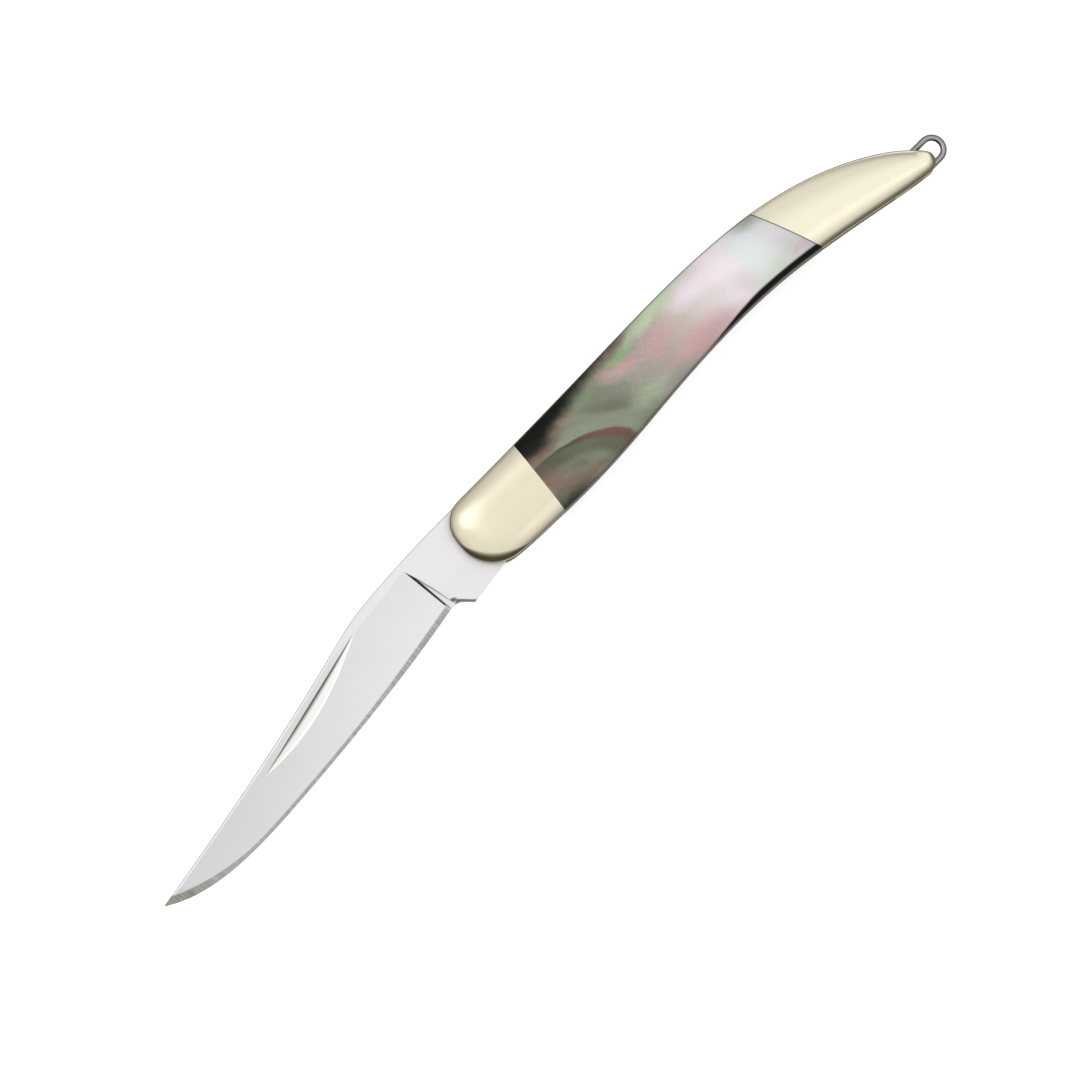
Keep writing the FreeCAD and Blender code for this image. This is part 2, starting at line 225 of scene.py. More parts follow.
def newTree(name, sizes, counts=()):  # an empty geometry tree with named inputs, and what they give
    tree = bpy.data.node_groups.new(name, "GeometryNodeTree")
    inputs = [("Geometry", "Geometry"), *[(label, "Float") for label in sizes],
              *[(label, "Int") for label in counts], ("Material", "Material")]
    for label, kind in inputs:
        tree.interface.new_socket(label, in_out="INPUT", socket_type="NodeSocket" + kind)
    tree.interface.new_socket("Geometry", in_out="OUTPUT", socket_type="NodeSocketGeometry")
    return tree, tree.nodes.new("NodeGroupInput").outputs


def finishTree(tree, geometry, material):  # real mesh with its material
    real = addNode(tree, "GeometryNodeRealizeInstances", {0: geometry})
    paint = addNode(tree, "GeometryNodeSetMaterial", {"Geometry": real.outputs[0], "Material": material})
    addNode(tree, "NodeGroupOutput", {0: paint.outputs[0]})


def bakeTree(obj, tree, values):  # runs a tree on an object and gives back the plain mesh
    modifier = obj.modifiers.new(tree.name, "NODES")
    modifier.node_group = tree
    for item in tree.interface.items_tree:
        if item.in_out == "INPUT" and item.name in values:
            modifier[item.identifier] = values[item.name]
    graph = bpy.context.evaluated_depsgraph_get()
    mesh = bpy.data.meshes.new_from_object(obj.evaluated_get(graph))
    obj.modifiers.remove(modifier)
    return mesh


# camera

cameraSet = {
    "aim": (-25.83, -6.02, 4.1),  # mm, the middle of the picture
    "leanToTip": 4.7,            # degrees off the vertical
    "leanToBelly": 2.4,
    "turn": 44.85,               # degrees from the knife's length to the picture's upright
    "pictureWidth": 134.2,       # mm across the picture
    "distance": 1500.0,
    "sensor": 36.0,
}


def makeCamera():
    data = bpy.data.cameras.new("photoCamera")
    camera = link(bpy.data.objects.new("photoCamera", data))
    back = Vector((-math.tan(math.radians(cameraSet["leanToTip"])),
                   -math.tan(math.radians(cameraSet["leanToBelly"])), 1.0)).normalized()
    side = Vector((*toward(cameraSet["turn"]), 0.0)).cross(back).normalized()
    turn = Matrix((side, back.cross(side), back)).transposed().to_4x4()
    spot = (Vector(cameraSet["aim"]) + back * cameraSet["distance"]) * mm
    camera.matrix_world = Matrix.Translation(spot) @ turn
    data.sensor_width = cameraSet["sensor"]
    data.lens = cameraSet["sensor"] * cameraSet["distance"] / cameraSet["pictureWidth"]
    data.clip_start = 0.01
    data.clip_end = 20.0
    bpy.context.scene.camera = camera


makeCamera()
print("camera ready")

# stage and light

stageSet = {
    "floorColor": (0.9, 0.9, 0.9),
    "floorSize": 3.0,        # m
    "floorGlow": 0.45,       # lifts the pale floor to white in the picture
    "skyColor": (1.0, 1.0, 1.0),
    "skyTop": 1.25,
    "skyEdge": 0.5,
    "skyRise": (0.3, 0.92),  # sines of the heights where the sky starts to brighten and is at its brightest
    "lamps": [               # name, place and size in m, watts
        ("keyLamp", (-0.22, 0.38, 1.0), (0.6, 0.42), 0.46),
        ("cornerLamp", (-0.46, 0.44, 1.0), (0.56, 0.38), 0.5),
        ("fillLamp", (0.14, -0.64, 0.98), (0.3, 0.36), 0.14),
        ("topLamp", (0.25, -0.1, 1.0), (0.6, 1.3), 0.25),
        ("sideLamp", (-1.1, 0.15, 0.9), (0.5, 0.6), 0.3),
        ("backLamp", (0.6, 1.1, 0.75), (0.9, 0.5), 0.45),
    ],
}


def makeStage():
    half = stageSet["floorSize"] / 2
    corners = [(-half, -half, 0), (half, -half, 0), (half, half, 0), (-half, half, 0)]
    mesh = bpy.data.meshes.new("floor")
    mesh.from_pydata(corners, [], [(0, 1, 2, 3)])
    floor = link(bpy.data.objects.new("floor", mesh))
    material = bpy.data.materials.new("paleFloor")
    material.use_nodes = True
    tree = material.node_tree
    tree.nodes.clear()
    paint = addNode(tree, "ShaderNodeBsdfDiffuse", {"Color": stageSet["floorColor"]})
    path = tree.nodes.new("ShaderNodeLightPath").outputs
    seen = larger(tree, path["Is Camera Ray"], path["Is Glossy Ray"])
    seen = larger(tree, seen, path["Is Transmission Ray"])
    glow = addNode(tree, "ShaderNodeEmission", {"Strength": times(tree, seen, stageSet["floorGlow"])})
    both = addNode(tree, "ShaderNodeAddShader", {0: paint.outputs[0], 1: glow.outputs[0]})
    addNode(tree, "ShaderNodeOutputMaterial", {"Surface": both.outputs[0]})
    mesh.materials.append(material)


def makeSky():
    world = bpy.data.worlds.new("studio")
    bpy.context.scene.world = world
    world.use_nodes = True
    tree = world.node_tree
    tree.nodes.clear()
    height = axes(tree, tree.nodes.new("ShaderNodeTexCoord").outputs["Generated"])[2]
    rise = spread(tree, height, *stageSet["skyRise"], stageSet["skyEdge"], stageSet["skyTop"])
    dome = addNode(tree, "ShaderNodeBackground", {"Color": stageSet["skyColor"], "Strength": rise})
    addNode(tree, "ShaderNodeOutputWorld", {"Surface": dome.outputs[0]})


def makeLamps():
    for name, place, size, power in stageSet["lamps"]:
        data = bpy.data.lights.new(name, "AREA")
        data.shape = "RECTANGLE"
        data.size, data.size_y = size
        data.energy = power
        lamp = link(bpy.data.objects.new(name, data))
        lamp.location = place
        lamp.rotation_euler = Vector(place).to_track_quat("Z", "Y").to_euler()


makeStage()
makeSky()
makeLamps()
print("stage and light ready")

# materials

softGloss = 0.15     # reflection level of the dull coats: tarnished edges with painted shade, shell, dark brass

nickelSet = {
    "color": (0.62, 0.579, 0.445),
    "rearLitColor": (0.715, 0.67, 0.53),    # painted lighter on the tail, standing in for its brighter reflection
    "rearFade": (10.0, 50.0),            # mm from the pivot, where the tail's colours take over
    "cloud": (0.96, 0.96, 0.96),         # light left in the cloudy places
    "rimShadeColor": (0.062, 0.054, 0.022),   # tarnish and painted dark reflection along the edges
    "rearRimShadeColor": (0.13, 0.12, 0.065),
    "rimWidths": (0.26, 0.85),           # mm, in front and on the belly behind
    "rimStart": 0.22,                    # share of the width that is all tarnish and painted shade
    "bellyFade": (0.2, -0.4),            # share of the way from the middle to the edge
    "cornerWidth": 1.75,                 # mm, where the painted shade is widest, at the low corner in front
    "cornerFade": (2.5, 4.7),            # mm from the pivot towards that corner
    "sideShine": 0.6,                    # share of pale colour the upright sides keep through the tarnish and painted shade
    "sideFade": (0.3, 0.05),
    "rimShadeMetal": 0.4,
    "rimShadeRough": 0.3,
    "roughness": (0.22, 0.28),
    "cloudScale": 0.35,
    "polishScale": 2.2,
    "polishTurn": 20.0,                  # degrees
    "polishSize": (1.5, 0.05, 0.3),
    "polishHeight": (0.04, 0.002),       # strength, and mm
}


def makeNickel():
    material, tree, shader = newMaterial("nickelSilver", 1.0, nickelSet["roughness"][0])
    here = millimetres(tree)
    x, y, _ = axes(tree, here)
    rear = spread(tree, x, *nickelSet["rearFade"])
    # tarnish and painted dark reflection along the edges, the painted shade widest at the low corner in front
    front, behind = nickelSet["rimWidths"]
    low = times(tree, spread(tree, attribute(tree, "across"), *nickelSet["bellyFade"]), rear)
    corner = times(tree, calc(tree, "ADD", x, y), -0.72)
    width = larger(tree, scaled(tree, low, behind - front, front),
                   spread(tree, corner, *nickelSet["cornerFade"], front, nickelSet["cornerWidth"]))
    uprightPale = spread(tree, facingUp(tree), *nickelSet["sideFade"], 0.0, nickelSet["sideShine"])
    bright = spread(tree, attribute(tree, "rim"), times(tree, width, nickelSet["rimStart"]), width)
    rim = larger(tree, bright, uprightPale)
    cloud = noise(tree, here, nickelSet["cloudScale"], 3.0)
    strokes = turned(tree, here, degrees=nickelSet["polishTurn"], size=nickelSet["polishSize"])
    polish = noise(tree, strokes, nickelSet["polishScale"], 2.0)
    # the pale colour is painted lighter towards the tail
    pale = blend(tree, rear, nickelSet["color"], nickelSet["rearLitColor"])
    pale = blend(tree, cloud, pale, nickelSet["cloud"], "MULTIPLY")
    tarnishAndShade = blend(tree, rear, nickelSet["rimShadeColor"], nickelSet["rearRimShadeColor"])
    metal = nickelSet["rimShadeMetal"]
    smooth = spread(tree, polish, 0.2, 0.8, *nickelSet["roughness"])
    feedAll(tree, shader, {
        "Base Color": blend(tree, rim, tarnishAndShade, pale),
        "Metallic": scaled(tree, bright, 1.0 - metal, metal),
        "Roughness": scaled(tree, minus(tree, 1.0, rim), nickelSet["rimShadeRough"], smooth),
        "Normal": raised(tree, polish, *nickelSet["polishHeight"]),
        "Specular IOR Level": softGloss,
    })
    return material


pearlSet = {
    "tones": {      # screen values of the shell's colours
        "inky": (8, 8, 6), "slate": (56, 57, 49), "moss": (74, 79, 63), "olive": (100, 103, 85),
        "sage": (129, 134, 116), "fern": (136, 145, 125), "leaf": (134, 178, 118), "lime": (190, 206, 174),
        "russet": (114, 76, 71), "umber": (124, 101, 91), "tan": (160, 138, 124), "rose": (194, 157, 159),
        "mauve": (163, 156, 149), "sand": (184, 173, 166), "blush": (208, 195, 194),
        "lilac": (228, 217, 224), "silver": (214, 218, 219), "haze": (207, 204, 206),
        "dusk": (187, 182, 186), "ash": (152, 152, 145),
    },
    "ground": [(8.0, "olive"), (15.0, "sage"), (24.0, "sage"), (29.0, "mauve"), (33.0, "sand"),
               (37.5, "blush"), (42.0, "lilac"), (46.0, "silver"), (50.0, "haze"), (53.5, "dusk")],   # mm
    "lift": (0.34, 0.17),   # mm, shift of the pattern for the height of the crown
    "drift": [(0.35, 1.6), (1.5, 0.5)],   # scale, and mm by which the colours wander
    "whorl": {"place": (8.0, -4.7), "size": (12.4, 6.4), "drift": (0.25, 0.7)},
    "rings": [      # shares of the whorl's size
        (0.0, "olive"), (0.28, "olive"), (0.5, "fern"), (0.6, "sage"), (0.78, "olive"),
        (0.93, "olive"), (1.02, "fern"), (1.1, "fern"), (1.25, "sage"), (1.6, "sage"),
    ],
    "whorlFade": (1.7, 1.15),
    "ringLine": (0.96, 1.02, 0.055),   # where the dark last ring starts and ends, and what it gains behind
    "lineBehind": (12.0, 17.0),        # mm, where that ring turns to russet
    "lineFaint": (-4.6, -3.0, 0.3, 0.85),   # mm, and its strength at the belly and above
    "patchEdge": 0.65,
    "patches": [   # place and half size in mm around the pivot, turn in degrees, tone, share, softness
        ((8.0, 1.0), (6.0, 1.6), -8, "moss", 0.7, 0.5),
        ((8.6, -1.2), (3.4, 2.4), -35, "umber", 0.85, 0.5),
        ((12.4, -2.0), (2.8, 1.5), -25, "olive", 0.7, 0.5),
        ((11.0, -2.7), (1.8, 0.8), -30, "umber", 0.7, 0.5),
        ((13.0, -3.7), (4.0, 1.0), -4, "umber", 0.8, 0.5),
        ((7.6, -4.6), (4.6, 1.4), 8, "slate", 1.0, 0.5),
        ((20.0, 1.0), (6.0, 1.1), -31, "olive", 0.5, 0.5),
        ((18.2, 3.8), (3.8, 1.0), 4, "leaf", 0.25, 0.5),
        ((25.6, -1.9), (4.6, 2.4), -6, "lime", 0.4, 0.5),
        ((26.6, 1.4), (7.0, 3.0), -12, "mauve", 0.8, 0.5),
        ((20.8, 1.8), (4.6, 2.4), -31, "olive", 0.35, 0.5),
        ((24.6, 3.1), (4.2, 1.5), -14, "rose", 0.75, 0.5),
        ((30.0, 2.2), (4.2, 2.3), 8, "rose", 0.7, 0.5),
        ((34.5, -1.7), (7.0, 2.5), -4, "rose", 0.9, 0.5),
        ((29.0, -3.0), (4.6, 1.8), 6, "ash", 0.85, 0.5),
        ((25.5, 4.2), (3.0, 0.7), 3, "leaf", 0.7, 0.5),
        ((32.0, 5.6), (8.0, 1.6), 2, "lime", 0.95, 0.5),
        ((24.5, 5.6), (5.0, 0.8), 3, "tan", 0.8, 0.5),
        ((38.0, 4.0), (5.0, 2.0), 0, "lilac", 0.8, 0.5),
        ((39.6, 1.2), (3.4, 1.6), -15, "haze", 0.6, 0.5),
        ((43.2, -0.4), (3.0, 2.0), -60, "blush", 0.6, 0.5),
        ((48.0, -1.6), (5.0, 1.3), 8, "lime", 0.45, 0.5),
        ((50.6, -1.0), (3.0, 1.8), -60, "dusk", 0.5, 0.5),
        ((51.6, -1.9), (2.6, 0.9), 12, "rose", 0.3, 0.5),
        ((49.6, 5.3), (4.4, 1.9), -12, "ash", 0.95, 0.5),
        ((10.0, 2.6), (5.2, 1.4), 3, "umber", 0.95, 0.5),
        ((14.6, 3.5), (2.4, 0.8), 4, "tan", 0.85, 0.5),
        ((7.5, 6.2), (17.5, 5.0), 0, "inky", 1.0, 0.22),
        ((9.6, 4.1), (4.4, 1.5), 0, "inky", 0.8, 0.35),
        ((15.0, 6.4), (18.0, 2.4), 0, "inky", 1.0, 0.35),
    ],
    "pinkShimmer": (1.14, 0.95, 0.96),
    "greenShimmer": (0.94, 1.08, 0.93),
    "shimmerFade": (40.0, 26.0, 0.45, 1.0),   # mm, and its strength behind and in front
    "shimmerTurn": 15.0,        # degrees
    "shimmerSize": (1.5, 0.8, 1.0),
    "grain": 0.1,
    "growthLines": 0.12,
    "growthTurn": -36.0,
    "growthSize": (7.0, 0.8, 1.0),
    "growthColor": (0.05, 0.05, 0.045),
    "growthFade": (34.0, 22.0),
    "bellyBand": (0.12, 0.8),   # mm, width of its dark edge in front and behind
    "bellyFade": (33.0, 44.0),
    "bellySoft": (0.2, -0.14),
    "spineBand": (0.28, 0.08),  # mm, where its dark edge ends and is whole
    "spineShade": (0.35, 0.8),  # on the upright side and on top
    "joint": (0.22, 0.04, 0.0, 0.8),   # mm, the dark line against the rear bolster
    "metallic": 0.4,
    "roughness": 0.42,
    "coat": 0.05,
}


def tone(name):  # screen value to the shader's linear value
    parts = [value / 255 for value in pearlSet["tones"][name]]
    return tuple(((p + 0.055) / 1.055) ** 2.4 if p > 0.04045 else p / 12.92 for p in parts)


def tones(tree, value, stops):  # a row of tones along a value
    low, high = stops[0][0], stops[-1][0]
    node = tree.nodes.new("ShaderNodeValToRGB")
    ramp = node.color_ramp
    for _ in stops[2:]:
        ramp.elements.new(0.5)
    for element, (at, name) in zip(ramp.elements, stops):
        element.position = (at - low) / (high - low)
        element.color = (*tone(name), 1.0)
    ramp.interpolation = "EASE"
    feed(tree, node.inputs["Fac"], calc(tree, "DIVIDE", minus(tree, value, low), high - low))
    return node.outputs["Color"]


def makePearl():
    material, tree, shader = newMaterial("blackLipPearl", pearlSet["metallic"], pearlSet["roughness"])
    here = turned(tree, millimetres(tree), (-pearlSet["lift"][0], -pearlSet["lift"][1], 0.0))
    drifted = here
    for drift in pearlSet["drift"]:
        drifted = stirred(tree, drifted, *drift)
    x, y, _ = axes(tree, drifted)
    color = tones(tree, x, pearlSet["ground"])
    # growth rings around the whorl, the last one a dark line that turns to russet
    whorl = pearlSet["whorl"]
    ring = howFar(tree, stirred(tree, here, *whorl["drift"]), whorl["place"], 0.0, whorl["size"])
    ringColor = tones(tree, ring, pearlSet["rings"])
    behind = spread(tree, x, *pearlSet["lineBehind"])
    lineStart, lineEnd, gain = pearlSet["ringLine"]
    inner = scaled(tree, behind, -gain, lineStart)
    line = times(tree, spread(tree, minus(tree, ring, inner), -0.06, 0.03),
                 spread(tree, ring, lineEnd, lineEnd - 0.04))
    line = times(tree, line, spread(tree, y, *pearlSet["lineFaint"]))
    ringColor = blend(tree, line, ringColor, blend(tree, behind, tone("slate"), tone("russet")))
    color = blend(tree, spread(tree, ring, *pearlSet["whorlFade"]), color, ringColor)
    middle = pearlSet["patchEdge"]
    for place, size, turn, name, share, soft in pearlSet["patches"]:
        far = howFar(tree, drifted, place, turn, size)
        color = blend(tree, spread(tree, far, middle + soft, middle - soft, 0.0, share), color, tone(name))
    # shimmer of pink and green, fine grain and faint growth lines
    play = turned(tree, here, degrees=pearlSet["shimmerTurn"], size=pearlSet["shimmerSize"])
    shimmer = noise(tree, play, 1.4, 3.0, 0.6)
    lively = spread(tree, x, *pearlSet["shimmerFade"])
    for name, end in (("pinkShimmer", 0.75), ("greenShimmer", 0.25)):
        share = times(tree, spread(tree, shimmer, 0.5, end), lively)
        color = blend(tree, share, color, pearlSet[name], "MULTIPLY")
    grain = spread(tree, noise(tree, here, 3.5, 2.0, 0.6), 0.3, 0.7, 0.0, pearlSet["grain"])
    color = blend(tree, times(tree, grain, lively), color, (0.0, 0.0, 0.0))
    growth = turned(tree, drifted, degrees=pearlSet["growthTurn"], size=pearlSet["growthSize"])
    lines = noise(tree, growth, 1.0, 2.0)
    shown = times(tree, spread(tree, lines, 0.35, 0.7, 0.0, pearlSet["growthLines"]),
                  spread(tree, x, *pearlSet["growthFade"]))
    color = blend(tree, shown, color, pearlSet["growthColor"])
    # dark edges
    rim = attribute(tree, "rim")
    across = attribute(tree, "across")
    width = spread(tree, x, *pearlSet["bellyFade"], *pearlSet["bellyBand"])
    belly = times(tree, spread(tree, minus(tree, rim, width), *pearlSet["bellySoft"]),
                  calc(tree, "LESS_THAN", across, 0.0))
    spine = times(tree, spread(tree, rim, *pearlSet["spineBand"]), calc(tree, "GREATER_THAN", across, 0.0))
    spine = times(tree, spine, spread(tree, facingUp(tree), 0.05, 0.3, *pearlSet["spineShade"]))
    joint = spread(tree, attribute(tree, "seam"), *pearlSet["joint"])
    dark = larger(tree, larger(tree, belly, joint), spine)
    feedAll(tree, shader, {
        "Base Color": blend(tree, dark, color, tone("inky")),
        "Specular IOR Level": softGloss,
        "Coat Weight": pearlSet["coat"],
        "Coat Roughness": pearlSet["coat"],
    })
    return material


steelSet = {
    "color": (0.64, 0.629, 0.632),
    "tipColor": (0.545, 0.537, 0.537),   # darker towards the tip
    "tipFade": (-12.0, -56.0),           # mm from the pivot
    "brightColor": (0.86, 0.855, 0.855),
    # the upright wall at the choil is painted near-black, as shade
    "wallShadeColor": (0.07, 0.066, 0.062),
    "springColor": (0.44, 0.43, 0.42),
    "wellShadeColor": (0.06, 0.055, 0.048),   # painted shade inside the handle
    "roughness": 0.42,
    "grain": 0.98,      # share of light left in the grinding lines
    "sideGrain": 0.6,   # the same on upright faces, darker there: partly a duller finish, partly painted shade against the bright floor's reflection
    "lineSize": (0.05, 3.0, 1.0),        # mm
    "lineTurn": -7.0,
}


def makeSteel(name, color, roughness, streak, tipColor=None, metallic=1.0):
    material, tree, shader = newMaterial(name, metallic, roughness)
    here = millimetres(tree)
    lines = noise(tree, turned(tree, here, degrees=steelSet["lineTurn"], size=steelSet["lineSize"]), 1.0, 3.0)
    if tipColor:
        color = blend(tree, spread(tree, axes(tree, here)[0], *steelSet["tipFade"]), color, tipColor)
    # upright faces get more of the dark lines, partly as painted shade
    grain = spread(tree, facingUp(tree), 0.1, 0.4, steelSet["sideGrain"], steelSet["grain"])
    share = times(tree, spread(tree, lines, 0.2, 0.8), minus(tree, 1.0, grain))
    feedAll(tree, shader, {
        "Base Color": blend(tree, share, color, (0.0, 0.0, 0.0)),
        "Roughness": spread(tree, lines, 0.2, 0.8, roughness - 0.04, roughness + 0.05),
        "Normal": raised(tree, lines, streak, 0.003),
    })
    return material


def makeSpringSteel():  # sawn and bright outside, painted shade where it faces the well
    material = makeSteel("springSteel", steelSet["springColor"], 0.36, 0.2)
    tree, shader, color = reopened(material)
    inside = spread(tree, faceNormal(tree)[1], -0.2, -0.6)
    feedAll(tree, shader, {
        "Base Color": blend(tree, inside, color, steelSet["wellShadeColor"]),
        "Metallic": scaled(tree, inside, -0.8, 1.0),
        "Specular IOR Level": softGloss,
    })
    return material


metalSet = {    # colour and roughness
    "pinSilver": ((0.70, 0.66, 0.52), 0.25),
    "wireSilver": ((0.31, 0.3, 0.285), 0.2),
    # the liners are dark brass: tarnish with painted shade of the well
    "linerBrass": ((0.2, 0.155, 0.08), 0.4),
    "pinBrass": ((0.66, 0.5, 0.24), 0.28),
    "cloud": 0.82,   # light left in the dull places
}


def makeMetal(name, edgeShare=1.0, steep=(0.6, 0.3), edgeMetal=1.0):  # edgeShare darkens steep faces
    color, roughness = metalSet[name]
    material, tree, shader = newMaterial(name, 1.0, roughness)
    cloud = noise(tree, millimetres(tree), 0.6, 4.0)
    dull = tuple(c * metalSet["cloud"] for c in color)
    tint = blend(tree, spread(tree, cloud, 0.35, 0.75), color, dull)
    if edgeShare < 1.0:
        upright = spread(tree, facingUp(tree), *steep)
        tint = blend(tree, upright, tint, tuple(c * edgeShare for c in color))
        if edgeMetal < 1.0:
            feed(tree, shader.inputs["Metallic"], scaled(tree, upright, edgeMetal - 1.0, 1.0))
        shader.inputs["Specular IOR Level"].default_value = softGloss
    rough = spread(tree, cloud, 0.3, 0.7, roughness, roughness + 0.15)
    feedAll(tree, shader, {"Base Color": tint, "Roughness": rough})
    return material


nickelSilver = makeNickel()
blackLipPearl = makePearl()
# the upright wall at the choil is painted near-black, as shade
wallShadeSteel = makeSteel("wallShadeSteel", steelSet["wallShadeColor"], 0.45, 0.2, metallic=0.5)
springSteel = makeSpringSteel()
pinSilver = makeMetal("pinSilver")
pinBrass = makeMetal("pinBrass")
# the wire's steep sides are painted darker, as shade
wireSilver = makeMetal("wireSilver", 0.55, (0.99, 0.78))
# dark brass liners: tarnish with painted shade of the well
linerBrass = makeMetal("linerBrass", 0.9, edgeMetal=0.3)
print("materials ready")

# bolsters and covers

handleSet = {
    "front": 5.55,          # mm from the pivot
    "tail": 70.75,
    "frontRadius": 4.95,
    "frontCenterY": 0.65,
    "frontBellyAngle": 262.0,
    "frontSideRadius": 9.0,      # slow curve up from the front, then a tighter shoulder
    "frontSideSweep": 14.0,
    "frontSpineHeight": 5.6,
    "noseRadius": 1.4,
    "noseCenterY": -5.6,
    "noseAngles": (35.0, -30.5, -96.0),
    "spine": [(0.14, 5.7), (0.31, 5.95), (0.495, 6.2), (0.622, 5.85), (0.735, 4.75), (0.848, 2.35),
              (0.933, -0.75)],
    "belly": [(0.057, -4.58), (0.141, -4.7), (0.254, -4.45), (0.396, -3.62), (0.523, -3.15), (0.65, -3.35),
              (0.763, -4.34), (0.876, -5.8)],   # shares of the way to the tail, and heights
    "frontJoint": (7.3, 6.7),     # mm from the pivot and slant in degrees
    "rearJoint": (51.26, -20.6),
    "jointGap": 0.02,
    "crownHeight": 2.4,
    "edgeDrop": (1.0, 1.4),       # in front and behind
    "edgePower": (3.0, 2.0),
    "edgeHalf": 5.1,              # half width that has the whole drop
    "edgeShrink": 0.6,            # power by which narrower places drop less
    "frontDome": (3.0, 1.5, 4.0),  # where it starts, drop at the end, power
    "tailDome": (46.0, 1.25, 2.0),
    "rimRadius": 0.35,
    "linerOutside": 1.7,
    "restHeight": 2.36,
    "across": 40,
}


def handleSides():  # the two sides of the outline, from the round front to the nose
    centerY = handleSet["frontCenterY"]
    radius = handleSet["frontRadius"]
    sideRadius = handleSet["frontSideRadius"]
    noseRadius = handleSet["noseRadius"]
    front = np.array((radius - handleSet["front"], centerY))
    sideCenter = np.array((sideRadius - handleSet["front"], centerY))
    nose = np.array((handleSet["tail"] - noseRadius, handleSet["noseCenterY"]))
    bellyAngle = handleSet["frontBellyAngle"]
    shoulderAngle = 180.0 - handleSet["frontSideSweep"]
    rise = toward(shoulderAngle)[1]
    shoulderRadius = (handleSet["frontSpineHeight"] - centerY - sideRadius * rise) / (1 - rise)
    shoulder = sideCenter + toward(shoulderAngle) * (sideRadius - shoulderRadius)
    roundFront = {
        "spine": np.concatenate([arcLine(sideCenter, sideRadius, 180.0, shoulderAngle)[:-1],
                                 arcLine(shoulder, shoulderRadius, shoulderAngle, 90.0)]),
        "belly": arcLine(front, radius, 180.0, bellyAngle),
    }
    spineEnd, noseTip, bellyEnd = handleSet["noseAngles"]
    sides = []
    runs = (("spine", 0.0, spineEnd, -90), ("belly", bellyAngle + 90, bellyEnd, 90))
    for key, startWay, endAngle, turn in runs:
        middle = [(share * handleSet["tail"], y) for share, y in handleSet[key]]
        ends = roundFront[key][-1], nose + toward(endAngle) * noseRadius
        line = smoothLine([ends[0], *middle, ends[1]], toward(startWay), toward(endAngle + turn))
        roundNose = arcLine(nose, noseRadius, endAngle, noseTip)
        whole = np.concatenate([roundFront[key][:-1], line, roundNose[1:]])
        sides.append({"line": line, "whole": whole})
    return sides[0], sides[1], front[0], nose[0]


spineSide, bellySide, domeFront, domeNose = handleSides()
outline = np.concatenate([spineSide["whole"], bellySide["whole"][::-1]])


def cutLine(line, start, end):  # the stretch between two slanting joint lines
    def past(joint):
        place, slant = joint
        return line[:, 0] - place - line[:, 1] * math.tan(math.radians(slant))
    low = 0.0 if start is None else np.interp(0.0, past(start), np.arange(len(line)))
    high = len(line) - 1.0 if end is None else np.interp(0.0, past(end), np.arange(len(line)))
    at = np.concatenate([[low], np.arange(math.ceil(low + 1e-6), math.floor(high - 1e-6) + 1), [high]])
    return np.stack([np.interp(at, np.arange(len(line)), line[:, k]) for k in (0, 1)], axis=1)


def rimDistance(points):  # mm to the outline
    a = outline
    b = np.roll(outline, -1, axis=0)
    run = b - a
    length2 = np.maximum((run ** 2).sum(1), 1e-12)
    best = np.full(len(points), 1e9)
    for start, step, square in zip(a, run, length2):
        t = np.clip(((points - start) @ step) / square, 0, 1)
        best = np.minimum(best, ((points - start - t[:, None] * step) ** 2).sum(1))
    return np.sqrt(best)


def crownTree():  # lifts the flat plan of a bolster or cover to its rounded outer face
    sizes = ("Crown Height", "Edge Drop", "Front Drop", "Tail Drop", "Rim Radius", "Liner Outside",
             "Rest Height", "Side")
    tree, given = newTree("crownedFace", sizes)

    def stored(name):
        return addNode(tree, "GeometryNodeInputNamedAttribute", {"Name": name}).outputs["Attribute"]

    height = given["Crown Height"]
    for drop, share in (("Edge Drop", "edgeShare"), ("Front Drop", "frontShare"), ("Tail Drop", "tailShare")):
        height = minus(tree, height, times(tree, given[drop], stored(share)))
    radius = given["Rim Radius"]
    short = minus(tree, radius, calc(tree, "MINIMUM", stored("rim"), radius))
    square = minus(tree, times(tree, radius, radius), times(tree, short, short))
    rounded = minus(tree, radius, calc(tree, "SQRT", larger(tree, square, 0.0)))
    height = calc(tree, "MINIMUM", minus(tree, height, rounded), given["Rest Height"])
    height = times(tree, height, stored("top"))
    level = times(tree, calc(tree, "ADD", given["Liner Outside"], height), given["Side"])
    level = times(tree, calc(tree, "ADD", level, float(toRest[2])), mm)
    x, y, _ = axes(tree, tree.nodes.new("GeometryNodeInputPosition").outputs[0])
    spot = addNode(tree, "ShaderNodeCombineXYZ", {"X": x, "Y": y, "Z": level}).outputs[0]
    lift = addNode(tree, "GeometryNodeSetPosition", {"Geometry": given["Geometry"], "Position": spot})
    finishTree(tree, lift.outputs[0], given["Material"])
    return tree


